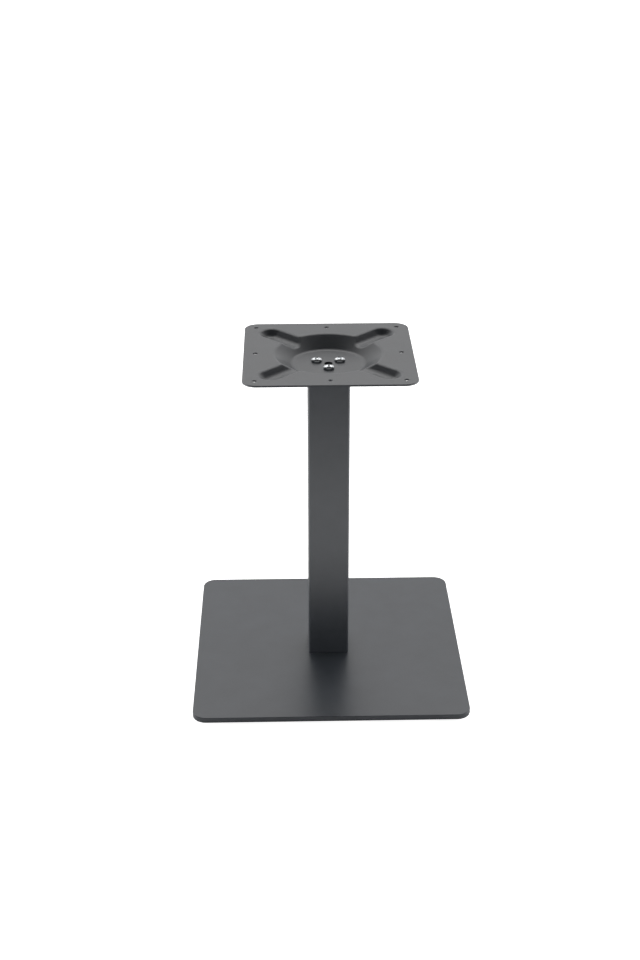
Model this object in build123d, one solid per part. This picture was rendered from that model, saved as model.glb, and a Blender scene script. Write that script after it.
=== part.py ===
from build123d import *
import math
import os

# Pedestal base for a low table: a square steel plate on four round glides, a square tube with a plate welded
# into each end, and a pressed square sheet on top that the table top is screwed to.
# Millimetres, +Z up. The origin is on the floor, under the middle of the column.

# Floor glides
glide_diameter = 40.0
glide_height = 6.0
glide_inset = 30.0
glide_bevel = 1.2
spigot_diameter = 8.0
spigot_length = 5.0
spigot_clearance = 0.1

# Base plate
base_side = 400.0
base_thickness = 8.0
base_corner_radius = 20.0
base_edge_rounding = 1.0

# Column, a square tube
column_side = 60.0
column_wall = 2.0
column_corner_radius = 3.5
column_length = 460.0

# The same tapped plate is welded flush into both ends of the tube
end_plate_thickness = 8.0
end_plate_clearance = 0.1
wire_hole_diameter = 12.0

# Screws: three at the top and three from below, on the same circle
screw_count = 3
screw_circle_diameter = 38.0
screw_first_angle = -90.0
screw_diameter = 8.0
thread_clearance = 0.1
screw_hole_clearance = 0.5
screw_length = 16.0
screw_tip_bevel = 1.0
pan_head_diameter = 16.0
pan_head_height = 5.6
pan_head_wall = 1.4
recess_span = 8.8
recess_width = 2.6
recess_floor_span = 3.2
recess_floor_width = 1.4
recess_depth = 3.4
recess_overrun = 0.4
countersunk_head_diameter = 15.0
countersunk_head_angle = 90.0

# Pressed top plate
plate_side = 240.0
plate_corner_radius = 20.0
sheet_thickness = 2.5
sheet_edge_rounding = 0.5
fixing_hole_diameter = 7.0
fixing_hole_margin = 17.0
dish_depth = 16.0
dish_mouth_diameter = 154.0
dish_wall_slope = 32.5
dish_floor_bend = 10.0
rib_depth = 9.0
rib_width = 36.0
rib_reach = 132.0
rib_wall_slope = 38.0
rib_floor_bend = 14.0
rib_count = 4
dish_to_rib_bend = 8.0
mouth_bend = 8.0

# Heights, from the floor up
base_underside = glide_height
base_top = base_underside + base_thickness
column_top = base_top + column_length
dish_floor = column_top + sheet_thickness
rim_top = dish_floor + dish_depth
fixing_hole_pitch = plate_side - 2 * fixing_hole_margin

screw_circle = PolarLocations(screw_circle_diameter / 2, screw_count, start_angle=screw_first_angle)
clearance_hole_radius = screw_diameter / 2 + screw_hole_clearance
tapped_hole_radius = screw_diameter / 2 + thread_clearance


def drilled(radius, low, high):
    """A drill's cut from height low to height high, about the Z axis."""
    return extrude(Plane.XY.offset(low) * Circle(radius), high - low)


def countersunk_cone():
    """The head of a countersunk screw, its flat face down at the base plate's underside."""
    head_radius = countersunk_head_diameter / 2
    head_height = (head_radius - screw_diameter / 2) / math.tan(math.radians(countersunk_head_angle / 2))
    outline = Polyline((0, 0), (head_radius, 0), (screw_diameter / 2, head_height), (0, head_height), close=True)
    return Pos(0, 0, base_underside) * revolve(Plane.XZ * make_face(outline), Axis.Z)


def glide():
    """Round moulded foot with a spigot that is pushed into a blind hole in the base plate."""
    radius = glide_diameter / 2
    half_section = Polyline(
        (0, 0),
        (radius - glide_bevel, 0),
        (radius, glide_bevel),
        (radius, glide_height - glide_bevel),
        (radius - glide_bevel, glide_height),
        (spigot_diameter / 2, glide_height),
        (spigot_diameter / 2, glide_height + spigot_length),
        (0, glide_height + spigot_length),
        close=True,
    )
    return revolve(Plane.XZ * make_face(half_section), Axis.Z)


def base_plate():
    """Flat plate with rounded corners, blind glide holes and countersunk screw holes in its underside."""
    plate = extrude(Plane.XY.offset(base_underside) * RectangleRounded(base_side, base_side, base_corner_radius),
                    base_thickness)
    plate = fillet(plate.edges().group_by(Axis.Z)[-1], base_edge_rounding)
    plate = fillet(plate.edges().group_by(Axis.Z)[0], base_edge_rounding / 2)
    spigot_hole = drilled(spigot_diameter / 2 + spigot_clearance, base_underside,
                          base_underside + spigot_length + spigot_clearance)
    screw_hole = drilled(clearance_hole_radius, base_underside, base_top) + countersunk_cone()
    plate -= [place * spigot_hole for place in glide_places.values()]
    plate -= [place * screw_hole for place in screw_circle]
    return plate


def column():
    """Square tube with rounded edges, cut square at both ends."""
    outside = RectangleRounded(column_side, column_side, column_corner_radius)
    bore_side = column_side - 2 * column_wall
    bore = RectangleRounded(bore_side, bore_side, column_corner_radius - column_wall)
    return extrude(Plane.XY.offset(base_top) * (outside - bore), column_length)


def end_plate(low):
    """Plate inside the tube with its lower face at height low: three tapped holes round one for a wire."""
    side = column_side - 2 * column_wall - 2 * end_plate_clearance
    corner = column_corner_radius - column_wall
    blank = extrude(Plane.XY.offset(low) * RectangleRounded(side, side, corner), end_plate_thickness)
    high = low + end_plate_thickness
    tapped_hole = drilled(tapped_hole_radius, low, high)
    return blank - drilled(wire_hole_diameter / 2, low, high) - [place * tapped_hole for place in screw_circle]


def pressed_sheet():
    """Sheet of even thickness with a round dish and diagonal ribs, the top face of its rim at z = 0."""
    mouth_radius = dish_mouth_diameter / 2
    floor_radius = mouth_radius - dish_depth / math.tan(math.radians(dish_wall_slope))
    half_section = make_face(
        Polyline((0, 0), (mouth_radius, 0), (floor_radius, -dish_depth), (0, -dish_depth), close=True)
    )
    floor_corner = half_section.vertices().group_by(Axis.Y)[0].sort_by(Axis.X)[-1]
    dish = revolve(Plane.XZ * fillet(floor_corner, dish_floor_bend), Axis.Z)

    slot_length = rib_reach - rib_width / 2
    slot = Pos(slot_length / 2, 0) * SlotCenterToCenter(slot_length, rib_width)
    rib = extrude(slot, -rib_depth, taper=90 - rib_wall_slope)
    rib = fillet(rib.faces().sort_by(Axis.Z)[0].edges(), rib_floor_bend)
    ribs = [Rot(0, 0, (turn + 0.5) * 360 / rib_count) * rib for turn in range(rib_count)]

    hollow = dish + ribs
    creases = new_edges(dish, *ribs, combined=hollow).filter_by(lambda edge: edge.center().Z < 0)
    hollow = fillet(creases, dish_to_rib_bend)

    # The formed top face is cut into a block, then the block is hollowed out below it to the sheet's thickness
    block_depth = 2 * dish_depth
    formed = extrude(RectangleRounded(plate_side, plate_side, plate_corner_radius), -block_depth) - hollow
    mouth = formed.faces().sort_by(Axis.Z)[-1].inner_wires()[0]
    formed = fillet(mouth.edges(), mouth_bend)
    block_faces = formed.faces().filter_by(lambda face: face.bounding_box().min.Z < -dish_depth - sheet_thickness)
    sheet = offset(formed, amount=-sheet_thickness, openings=block_faces)
    outline_edges = sheet.faces().sort_by(Axis.Z)[-1].outer_wire().edges()
    return fillet(outline_edges, sheet_edge_rounding)


def top_plate():
    """The pressed sheet on top of the column, with its screw holes, wire hole and fixing holes."""
    plate = Pos(0, 0, rim_top) * pressed_sheet()
    screw_hole = drilled(clearance_hole_radius, column_top, dish_floor)
    fixing_hole = drilled(fixing_hole_diameter / 2, rim_top - sheet_thickness, rim_top)
    plate -= drilled(wire_hole_diameter / 2, column_top, dish_floor)
    plate -= [place * screw_hole for place in screw_circle]
    plate -= [place * fixing_hole for place in fixing_places]
    return plate


def cross_recess(face_height, inward):
    """Two tapering slots across each other, cut into a face; inward is -1 from above and 1 from below."""
    floor_plane = Plane.XY.offset(face_height + inward * recess_depth)
    mouth_plane = Plane.XY.offset(face_height - inward * recess_overrun)
    slot = loft([floor_plane * Rectangle(recess_floor_span, recess_floor_width),
                 mouth_plane * Rectangle(recess_span, recess_width)])
    return slot + Rot(0, 0, 90) * slot


def pan_head_screw():
    """Screw with a domed head and a cross recess, seated on the dish floor."""
    head_radius = pan_head_diameter / 2
    dome_height = pan_head_height - pan_head_wall
    dome_radius = (head_radius ** 2 + dome_height ** 2) / (2 * dome_height)
    side = Line((head_radius, 0), (head_radius, pan_head_wall))
    dome = RadiusArc(side @ 1, (0, pan_head_height), -dome_radius)
    underside = Polyline((0, pan_head_height), (0, 0), (head_radius, 0))
    head = Pos(0, 0, dish_floor) * revolve(Plane.XZ * make_face(side + dome + underside), Axis.Z)
    shank = drilled(screw_diameter / 2, dish_floor - screw_length, dish_floor)
    tip = shank.edges().filter_by(GeomType.CIRCLE).group_by(Axis.Z)[0]
    return head + chamfer(tip, screw_tip_bevel) - cross_recess(dish_floor + pan_head_height, -1)


def countersunk_screw():
    """Screw with its flat head flush in the base plate's underside, and a cross recess from below."""
    shank = drilled(screw_diameter / 2, base_underside, base_underside + screw_length)
    tip = shank.edges().filter_by(GeomType.CIRCLE).group_by(Axis.Z)[-1]
    return countersunk_cone() + chamfer(tip, screw_tip_bevel) - cross_recess(base_underside, 1)


glide_reach = base_side / 2 - glide_inset
glide_places = {
    "front_left": Pos(-glide_reach, -glide_reach, 0),
    "front_right": Pos(glide_reach, -glide_reach, 0),
    "rear_left": Pos(-glide_reach, glide_reach, 0),
    "rear_right": Pos(glide_reach, glide_reach, 0),
}
corner_holes = [place for place in GridLocations(fixing_hole_pitch, fixing_hole_pitch, 2, 2)]
side_holes = [place for place in PolarLocations(fixing_hole_pitch / 2, 4)]
fixing_places = corner_holes + side_holes

nodes = {
    "base_plate": base_plate(),
    "column": column(),
    "column_foot_plate": end_plate(base_top),
    "column_head_plate": end_plate(column_top - end_plate_thickness),
    "top_plate": top_plate(),
    "top_screws": Compound(children=[place * pan_head_screw() for place in screw_circle]),
    "base_screws": Compound(children=[place * countersunk_screw() for place in screw_circle]),
}
for corner, place in glide_places.items():
    nodes["glide_" + corner] = place * glide()

os.makedirs("parts", exist_ok=True)
for name, solid in nodes.items():
    export_step(solid, "parts/" + name + ".step")
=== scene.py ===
import math
import bmesh
import bpy
from mathutils import Matrix, Vector


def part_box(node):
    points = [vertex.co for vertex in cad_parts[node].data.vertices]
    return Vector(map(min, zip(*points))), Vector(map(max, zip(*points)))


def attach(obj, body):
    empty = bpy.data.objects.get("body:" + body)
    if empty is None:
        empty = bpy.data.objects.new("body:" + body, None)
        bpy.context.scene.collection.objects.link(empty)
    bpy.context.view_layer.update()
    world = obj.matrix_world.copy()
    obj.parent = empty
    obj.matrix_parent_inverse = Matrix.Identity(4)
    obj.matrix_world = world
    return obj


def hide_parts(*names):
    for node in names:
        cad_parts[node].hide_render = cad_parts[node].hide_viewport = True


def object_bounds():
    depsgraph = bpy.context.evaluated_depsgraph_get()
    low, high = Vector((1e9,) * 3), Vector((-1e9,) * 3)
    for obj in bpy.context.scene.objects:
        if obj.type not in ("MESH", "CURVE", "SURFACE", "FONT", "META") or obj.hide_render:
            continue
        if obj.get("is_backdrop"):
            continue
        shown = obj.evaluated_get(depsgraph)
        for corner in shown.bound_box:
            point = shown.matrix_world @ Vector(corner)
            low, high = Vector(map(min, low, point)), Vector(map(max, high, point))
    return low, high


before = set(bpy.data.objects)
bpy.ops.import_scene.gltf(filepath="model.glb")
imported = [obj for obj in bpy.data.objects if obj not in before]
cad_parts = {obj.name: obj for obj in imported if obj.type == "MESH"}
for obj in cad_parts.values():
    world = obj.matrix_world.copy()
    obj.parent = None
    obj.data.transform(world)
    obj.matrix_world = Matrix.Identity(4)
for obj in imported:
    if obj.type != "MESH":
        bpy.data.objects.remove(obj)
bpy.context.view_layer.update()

# Glides. Four round feet injection moulded in black polypropylene, each with a spigot pressed into a blind
# hole in the base plate. Only their rounded rims show under the plate. They stand on an outer ring round a
# hollow sole, and the gate mark is in the middle of the hollow.
glide_radius = 0.020
glide_height = 0.006
glide_steps = 72
spigot_radius = 0.004
spigot_top = 0.011
sole_hollow_radius = 0.015
sole_hollow_depth = 0.0008
gate_mark_radius = 0.0015
gate_mark_height = 0.0004
rim_rounding = 0.0011
rim_segments = 5
weld_distance = 1e-6
same_place = 1e-5
flow_mark_mm = 9
mould_grain_mm = 0.5
mould_grain_depth = 0.00003

# A noise has 1000 lumps to the metre over the size of a lump in millimetres. Its values mostly run from 0.3
# to 0.7.
noise_build = {"Detail": 3.0, "Roughness": 0.55}
usual_noise = {"From Min": 0.3, "From Max": 0.7}


def to_linear(hex_colour):
    """An sRGB hex value as the linear colour, with alpha, that a shader socket takes."""
    shares = [int(hex_colour[i:i + 2], 16) / 255 for i in (1, 3, 5)]
    return [s / 12.92 if s <= 0.04045 else ((s + 0.055) / 1.055) ** 2.4 for s in shares] + [1.0]


def add_node(tree, kind, inputs, settings=None):
    """A node with its settings. Each input is a fixed value, or the output that is linked to it."""
    node = tree.nodes.new(kind)
    for name, value in (settings or {}).items():
        setattr(node, name, value)
    for name, value in inputs.items():
        if isinstance(value, bpy.types.NodeSocket):
            tree.links.new(value, node.inputs[name])
        else:
            node.inputs[name].default_value = value
    return node


def new_material(name, shader_values):
    """A material with its shader's fixed values, and the Object coordinates of the piece."""
    material = bpy.data.materials.new(name)
    material.use_nodes = True
    shader = material.node_tree.nodes["Principled BSDF"]
    for socket, value in shader_values.items():
        shader.inputs[socket].default_value = value
    place = add_node(material.node_tree, "ShaderNodeTexCoord", {}).outputs["Object"]
    return material, material.node_tree, shader, place


def lay_finish(tree, shader, cloud, tones, grain, roughness):
    """Colour that drifts between two tones with one noise, and roughness that runs with another.

    A Mix node of colours has its factor at input 0, its colours at inputs 6 and 7 and the mix at output 2.
    """
    share = add_node(tree, "ShaderNodeMapRange", {"Value": cloud, **usual_noise})
    tint = add_node(tree, "ShaderNodeMix", {0: share.outputs["Result"], 6: to_linear(tones[0]),
                                            7: to_linear(tones[1])}, {"data_type": "RGBA"})
    gloss = add_node(tree, "ShaderNodeMapRange", {"Value": grain, **usual_noise, "To Min": roughness[0],
                                                  "To Max": roughness[1]})
    tree.links.new(tint.outputs[2], shader.inputs["Base Color"])
    tree.links.new(gloss.outputs["Result"], shader.inputs["Roughness"])


def turned(outline, steps):
    """A closed form turned about the Z axis from its half section, a list of radius and height."""
    form = bmesh.new()
    points = [form.verts.new((radius, 0, height)) for radius, height in outline]
    edges = [form.edges.new(pair) for pair in zip(points, points[1:])]
    bmesh.ops.spin(form, geom=points + edges, axis=(0, 0, 1), cent=(0, 0, 0), steps=steps,
                   angle=math.tau, use_merge=True)
    bmesh.ops.remove_doubles(form, verts=form.verts, dist=weld_distance)
    bmesh.ops.recalc_face_normals(form, faces=form.faces)
    return form


def at_radius(edge, radius):
    """Whether both ends of an edge lie at a radius from the Z axis."""
    return all(abs(end.co.xy.length - radius) < same_place for end in edge.verts)


def finished_piece(name, form, material, sharp_degrees=40):
    """The piece made of a form, smooth between its sharp edges and in one material."""
    mesh = bpy.data.meshes.new(name)
    form.to_mesh(mesh)
    form.free()
    mesh.shade_smooth()
    mesh.set_sharp_from_angle(angle=math.radians(sharp_degrees))
    mesh.materials.append(material)
    piece = bpy.data.objects.new(name, mesh)
    bpy.context.scene.collection.objects.link(piece)
    return piece


# Polypropylene from a spark-eroded mould: a soft sheen, broken up by a fine even grain.
polypropylene, tree, shader, place = new_material("black_polypropylene", {"IOR": 1.49})
flow_marks = add_node(tree, "ShaderNodeTexNoise",
                      {"Vector": place, "Scale": 1000 / flow_mark_mm, **noise_build}).outputs["Fac"]
mould_grain = add_node(tree, "ShaderNodeTexNoise",
                       {"Vector": place, "Scale": 1000 / mould_grain_mm, **noise_build}).outputs["Fac"]
lay_finish(tree, shader, flow_marks, ("#151617", "#1D1E20"), mould_grain, (0.42, 0.56))
relief = add_node(tree, "ShaderNodeBump",
                  {"Height": mould_grain, "Strength": 0.4, "Distance": mould_grain_depth})
tree.links.new(relief.outputs["Normal"], shader.inputs["Normal"])

glide_outline = [
    (0, sole_hollow_depth - gate_mark_height),
    (gate_mark_radius, sole_hollow_depth - gate_mark_height),
    (gate_mark_radius, sole_hollow_depth),
    (sole_hollow_radius, sole_hollow_depth),
    (sole_hollow_radius + sole_hollow_depth, 0),
    (glide_radius, 0),
    (glide_radius, glide_height),
    (spigot_radius, glide_height),
    (spigot_radius, spigot_top),
    (0, spigot_top),
]
for corner in ("front_left", "front_right", "rear_left", "rear_right"):
    form = turned(glide_outline, glide_steps)
    rims = [edge for edge in form.edges if at_radius(edge, glide_radius)
            and abs(edge.verts[0].co.z - edge.verts[1].co.z) < same_place]
    bmesh.ops.bevel(form, geom=rims, offset=rim_rounding, affect="EDGES", segments=rim_segments,
                    profile=0.5, material=-1)
    low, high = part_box("glide_" + corner)
    middle = (low + high) / 2
    bmesh.ops.translate(form, verts=form.verts, vec=(middle.x, middle.y, 0))
    foot = finished_piece("moulded_glide_" + corner, form, polypropylene)
    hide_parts("glide_" + corner)
    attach(foot, "root")

# Base plate. An 8 mm steel plate, cut square with rounded corners, its edges broken and its screw and spigot
# holes drilled from below, then powder coated all over in a matt dark grey.
powder_cloud_mm = 40
flow_wave_mm = 4.5
flow_wave_share = 0.5
pebble_mm = 0.9
pebble_depth = 0.00006


def dress(node_name, material):
    """Puts a material in every slot of a piece that keeps its CAD shape."""
    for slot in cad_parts[node_name].material_slots:
        slot.material = material


# Baked polyester powder: a low gloss over a fine pebbled skin, with a slight wave where the powder flowed
# out. The pebbles are drawn twice as coarse as they are, so that they show, and the IOR is raised from a
# polyester's 1.55 to match the gloss that the photograph shows.
coat, tree, shader, place = new_material("powder_coat_dark_grey", {"IOR": 1.7})
powder_cloud = add_node(tree, "ShaderNodeTexNoise", {"Vector": place, "Scale": 1000 / powder_cloud_mm,
                                                     **noise_build, "Detail": 4.0}).outputs["Fac"]
flow_wave = add_node(tree, "ShaderNodeTexNoise", {"Vector": place, "Scale": 1000 / flow_wave_mm,
                                                  **noise_build, "Detail": 1.0}).outputs["Fac"]
pebble = add_node(tree, "ShaderNodeTexNoise",
                  {"Vector": place, "Scale": 1000 / pebble_mm, **noise_build}).outputs["Fac"]
lay_finish(tree, shader, powder_cloud, ("#34383D", "#3A3E44"), pebble, (0.3, 0.4))
skin = add_node(tree, "ShaderNodeMath", {0: flow_wave, 1: flow_wave_share, 2: pebble},
                {"operation": "MULTIPLY_ADD"})
relief = add_node(tree, "ShaderNodeBump",
                  {"Height": skin.outputs["Value"], "Strength": 0.3, "Distance": pebble_depth})
tree.links.new(relief.outputs["Normal"], shader.inputs["Normal"])
dress("base_plate", coat)

# Column. Drawn square steel tube, 60 mm with a 2 mm wall, cut square at both ends and coated with the same
# powder after its end plates were welded in.
dress("column", coat)

# End plates. Two 8 mm plates cut from hot-rolled strip, drilled and tapped, and welded flush inside the
# tube's two ends.
scale_patch_mm = 11
scale_grain_mm = 0.7
scale_grain_depth = 0.00003

# Hot-rolled steel: dull blue-grey mill scale, lighter and shinier in patches where it is thin.
scaled_steel, tree, shader, place = new_material("hot_rolled_steel", {"Metallic": 1.0})
scale_patches = add_node(tree, "ShaderNodeTexNoise", {"Vector": place, "Scale": 1000 / scale_patch_mm,
                                                      **noise_build, "Detail": 5.0}).outputs["Fac"]
scale_grain = add_node(tree, "ShaderNodeTexNoise",
                       {"Vector": place, "Scale": 1000 / scale_grain_mm, **noise_build}).outputs["Fac"]
lay_finish(tree, shader, scale_patches, ("#55585C", "#8A8A8C"), scale_patches, (0.62, 0.42))
relief = add_node(tree, "ShaderNodeBump",
                  {"Height": scale_grain, "Strength": 0.4, "Distance": scale_grain_depth})
tree.links.new(relief.outputs["Normal"], shader.inputs["Normal"])
dress("column_head_plate", scaled_steel)
dress("column_foot_plate", scaled_steel)

# Base screws. Three countersunk cross-recess screws, cold headed and thread rolled, then bright zinc plated.
# They are driven from below into the foot plate.
plate_bloom_mm = 2.5
wire_grain_mm = 0.35
wire_grain_depth = 0.000004

# Zinc plate: a thin bright film with a cool cast, slightly cloudy, over the fine grain of the drawn wire.
zinc, tree, shader, place = new_material("bright_zinc_plate", {"Metallic": 1.0})
plate_bloom = add_node(tree, "ShaderNodeTexNoise",
                       {"Vector": place, "Scale": 1000 / plate_bloom_mm, **noise_build}).outputs["Fac"]
wire_grain = add_node(tree, "ShaderNodeTexNoise",
                      {"Vector": place, "Scale": 1000 / wire_grain_mm, **noise_build}).outputs["Fac"]
lay_finish(tree, shader, plate_bloom, ("#D2D6DA", "#E2E4E4"), plate_bloom, (0.12, 0.2))
relief = add_node(tree, "ShaderNodeBump",
                  {"Height": wire_grain, "Strength": 0.3, "Distance": wire_grain_depth})
tree.links.new(relief.outputs["Normal"], shader.inputs["Normal"])
dress("base_screws", zinc)

# Top plate. A 2.5 mm steel sheet pressed in one stroke: a round dish drops to the column's top, and four ribs
# run out of it to stiffen the corners. Punched holes in its rim take the table top's screws, and it is coated
# as the rest is.
dress("top_plate", coat)

# Top screws. Three 8 mm pan-head screws with cross recesses, cold headed, thread rolled and zinc plated like
# the base's. Their wide, slightly crowned heads clamp the dish floor down on the head plate.
screw_circle_radius = 0.019
screw_count = 3
screw_length = 0.016
screw_steps = 48
screw_sharp_degrees = 35
head_radius = 0.008
head_height = 0.0055
head_crown = 0.0028
head_crown_rings = 5
head_rounding = 0.0010
head_segments = 7
shank_radius = 0.004
thread_root_radius = 0.0034
thread_pitch = 0.00125
thread_turns = 11
crest_top = thread_pitch * 0.25
crest_foot = thread_pitch * 0.12
root_drop = thread_pitch * 0.4
tip_bevel = 0.001
recess_reach = 0.0044
recess_half_width = 0.0013
recess_depth = 0.0034
recess_taper = 0.5
cut_distance = 1e-7

# One screw on the Z axis, its head's seat at zero. The thread is drawn as rings, and the last crest runs into
# the bevelled tip with no root below it.
crown_foot = head_height - head_crown
outline = []
for ring in range(head_crown_rings + 1):
    share = ring / head_crown_rings
    outline.append((head_radius * share, head_height - head_crown * share ** 2))
outline += [(head_radius, 0), (shank_radius, 0)]
for turn in reversed(range(thread_turns)):
    crest = tip_bevel - screw_length + thread_pitch * turn
    outline += [(shank_radius, crest + crest_top), (shank_radius, crest + crest_foot),
                (thread_root_radius, crest - root_drop)]
outline.pop()
outline += [(shank_radius - tip_bevel, -screw_length), (0, -screw_length)]
form = turned(outline, screw_steps)
shoulder = [edge for edge in form.edges if at_radius(edge, head_radius)
            and all(end.co.z > head_rounding for end in edge.verts)]
bmesh.ops.bevel(form, geom=shoulder, offset=head_rounding, affect="EDGES", segments=head_segments,
                profile=0.5, material=-1)

# The recess: its cross is cut into the top of the head, then punched down and in.
for across in (Vector((1, 0, 0)), Vector((0, 1, 0))):
    for cut in (-recess_reach, -recess_half_width, recess_half_width, recess_reach):
        crown = [face for face in form.faces if face.calc_center_median().z > crown_foot]
        around = dict.fromkeys(part for face in crown for part in (*face.verts, *face.edges))
        bmesh.ops.bisect_plane(form, geom=crown + list(around), plane_co=across * cut, plane_no=across,
                               dist=cut_distance)
cross = []
for face in form.faces:
    middle = face.calc_center_median()
    near, far = sorted((abs(middle.x), abs(middle.y)))
    if middle.z > crown_foot and near < recess_half_width and far < recess_reach:
        cross.append(face)
punched = bmesh.ops.extrude_face_region(form, geom=cross)["geom"]
bmesh.ops.delete(form, geom=cross, context="FACES")
floor_points = [part for part in punched if isinstance(part, bmesh.types.BMVert)]
bmesh.ops.translate(form, verts=floor_points, vec=(0, 0, -recess_depth))
bmesh.ops.scale(form, verts=floor_points, vec=(recess_taper, recess_taper, 1))

# Set in its place at the front, then repeated round the circle.
tip_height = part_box("top_screws")[0].z
bmesh.ops.translate(form, verts=form.verts, vec=(0, -screw_circle_radius, tip_height + screw_length))
bmesh.ops.spin(form, geom=form.verts[:] + form.edges[:] + form.faces[:], axis=(0, 0, 1), cent=(0, 0, 0),
               steps=screw_count - 1, angle=math.tau * (screw_count - 1) / screw_count, use_duplicate=True)
screws = finished_piece("pan_head_screws", form, zinc, screw_sharp_degrees)
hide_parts("top_screws")
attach(screws, "root")

# Floor. A sheet of white paper under and behind the base. The camera and reflections see it lifted towards
# white, and it keeps the base's shadow. Reflections see no lift in a square close round the base plate: a
# painted shade that stands for the plate's shade on the paper.
floor_reach = 6.0
paper_front_edge = -0.85
seen_lift = 0.93
mirrored_lift = 0.9
shade_edge = 0.2
shade_end = 0.4
fibre_mm = 3

# Uncoated paper: matt and nearly white, with a fibre mottle that hardly shows.
paper, tree, shader, place = new_material("white_paper", {"Emission Color": to_linear("#FFFFFF")})
fibre = add_node(tree, "ShaderNodeTexNoise",
                 {"Vector": place, "Scale": 1000 / fibre_mm, **noise_build}).outputs["Fac"]
lay_finish(tree, shader, fibre, ("#EFEFEF", "#F4F4F4"), fibre, (0.85, 0.95))
ray = add_node(tree, "ShaderNodeLightPath", {}).outputs
sides = add_node(tree, "ShaderNodeVectorMath", {0: place}, {"operation": "ABSOLUTE"})
side = add_node(tree, "ShaderNodeSeparateXYZ", {"Vector": sides.outputs["Vector"]}).outputs
from_middle = add_node(tree, "ShaderNodeMath", {0: side["X"], 1: side["Y"]}, {"operation": "MAXIMUM"})
# Painted shade: the lift that reflections see fades to nothing in a square round the base plate.
glossy_lift_round_painted_shade = add_node(tree, "ShaderNodeMapRange",
                         {"Value": from_middle.outputs["Value"], "From Min": shade_edge,
                          "From Max": shade_end, "To Min": 0.0, "To Max": mirrored_lift},
                         {"interpolation_type": "SMOOTHSTEP"})
mirrored = add_node(tree, "ShaderNodeMath", {0: ray["Is Glossy Ray"], 1: glossy_lift_round_painted_shade.outputs["Result"]},
                    {"operation": "MULTIPLY"})
lift = add_node(tree, "ShaderNodeMath",
                {0: ray["Is Camera Ray"], 1: seen_lift, 2: mirrored.outputs["Value"]},
                {"operation": "MULTIPLY_ADD"})
tree.links.new(lift.outputs["Value"], shader.inputs["Emission Strength"])

form = bmesh.new()
bmesh.ops.create_grid(form, x_segments=1, y_segments=1, size=floor_reach)
bmesh.ops.translate(form, verts=form.verts, vec=(0, floor_reach + paper_front_edge, 0))
finished_piece("floor", form, paper)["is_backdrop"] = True

# Light. A white cove stands behind the base and a dim grey wall in front of it, with nothing bright overhead,
# so its front faces are darker than its top ones. The camera sees plain white. A high softbox and four cards
# light the base and show in its gloss, and three fills only light it.
cove_start = 0.25
cove_full = 0.85
cove_light = 1.0
wall_start = -0.25
wall_full = -0.8
wall_light = 0.22
room_light = 0.03
background_seen = 1.0

# A direction's share to the rear runs from 1, straight back, to -1, straight to the front.
world = bpy.data.worlds.new("studio")
bpy.context.scene.world = world
world.use_nodes = True
tree = world.node_tree
background = tree.nodes["Background"]
background.inputs["Color"].default_value = to_linear("#FFFFFF")
direction = add_node(tree, "ShaderNodeTexCoord", {}).outputs["Generated"]
rearward = add_node(tree, "ShaderNodeSeparateXYZ", {"Vector": direction}).outputs["Y"]
cove = add_node(tree, "ShaderNodeMapRange", {"Value": rearward, "From Min": cove_start, "From Max": cove_full,
                                             "To Min": room_light, "To Max": cove_light},
                {"interpolation_type": "SMOOTHSTEP"})
wall = add_node(tree, "ShaderNodeMapRange", {"Value": rearward, "From Min": wall_full, "From Max": wall_start,
                                             "To Min": wall_light, "To Max": room_light},
                {"interpolation_type": "SMOOTHSTEP"})
room = add_node(tree, "ShaderNodeMath", {0: cove.outputs["Result"], 1: wall.outputs["Result"]},
                {"operation": "MAXIMUM"})
ray = add_node(tree, "ShaderNodeLightPath", {}).outputs
seen = add_node(tree, "ShaderNodeMix",
                {0: ray["Is Camera Ray"], 2: room.outputs["Value"], 3: background_seen})
tree.links.new(seen.outputs[0], background.inputs["Strength"])


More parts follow.
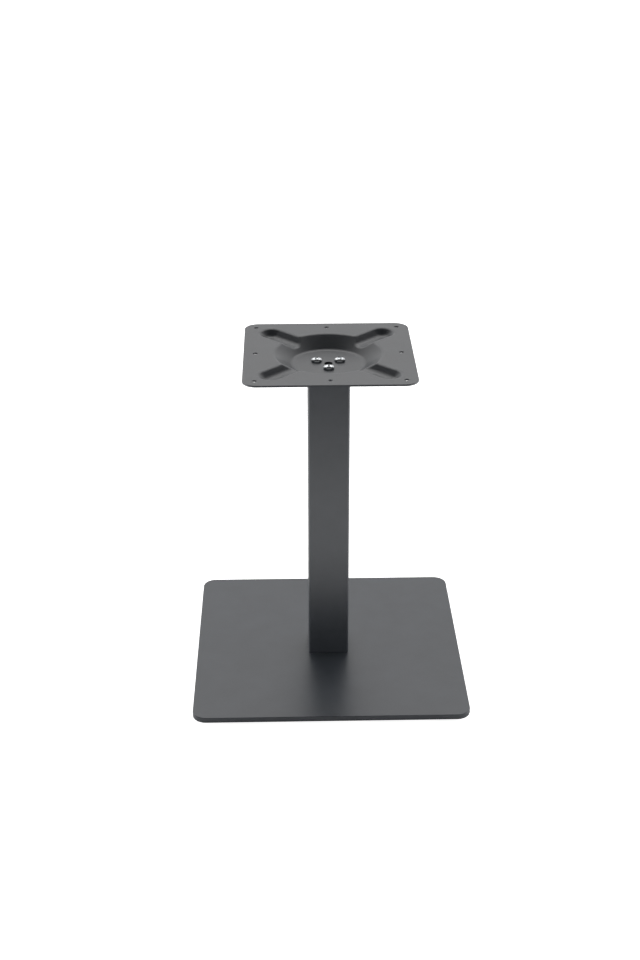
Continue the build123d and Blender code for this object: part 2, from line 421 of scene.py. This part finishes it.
def add_softbox(name, place, aim, width, height, power, glossy=True):
    """A rectangular area lamp at a place, turned to face its aim. A fill doesn't show in gloss."""
    lamp = bpy.data.lights.new(name, "AREA")
    lamp.shape = "RECTANGLE"
    lamp.size = width
    lamp.size_y = height
    lamp.energy = power
    box = bpy.data.objects.new(name, lamp)
    box.location = place
    box.rotation_euler = (Vector(aim) - Vector(place)).to_track_quat("-Z", "Y").to_euler()
    box.visible_glossy = glossy
    bpy.context.scene.collection.objects.link(box)


add_softbox("rear_softbox", (0, 1.3, 2.0), (0, 0, 0.3), width=2.0, height=1.2, power=8)
add_softbox("rear_fill", (0, 1.9, 1.4), (0, 0, 0.4), width=2.0, height=1.2, power=17, glossy=False)
add_softbox("left_fill", (-1.0, 0.3, 0.42), (0, -0.1, 0), width=0.6, height=0.4, power=3.5, glossy=False)
add_softbox("right_fill", (1.0, 0.3, 0.42), (0, -0.1, 0), width=0.6, height=0.4, power=3.5, glossy=False)
add_softbox("front_left_card", (-1.7, -1.9, 0.45), (0, 0, 0.2), width=0.7, height=0.5, power=6)
add_softbox("front_right_card", (1.7, -1.9, 0.45), (0, 0, 0.2), width=0.7, height=0.5, power=6)
add_softbox("left_card", (-1.6, 0.1, 0.4), (0, 0, 0.1), width=1.0, height=0.6, power=7)
add_softbox("right_card", (1.6, 0.1, 0.4), (0, 0, 0.1), width=1.0, height=0.6, power=7)

# Camera. At the photograph's place: two metres in front of the base, a little to the left, and looking 26
# degrees down. Its angles and its lens are fitted to the edges of the base.
camera_place = (-0.05853, -2.02136, 1.27788)
yaw, pitch, roll = math.radians(1.3145), math.radians(25.9711), math.radians(-0.069)
camera_data = bpy.data.cameras.new("camera")
camera_data.sensor_width = 36.0
camera_data.lens = 57.48
camera_data.sensor_fit = "AUTO"
camera = bpy.data.objects.new("camera", camera_data)
camera.matrix_world = (
    Matrix.Translation(camera_place)
    @ Matrix.Rotation(-yaw, 4, "Z")
    @ Matrix.Rotation(math.pi / 2 - pitch, 4, "X")
    @ Matrix.Rotation(roll, 4, "Z")
)
bpy.context.scene.collection.objects.link(camera)
bpy.context.scene.camera = camera
bpy.context.scene.view_settings.view_transform = "Standard"

low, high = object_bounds()
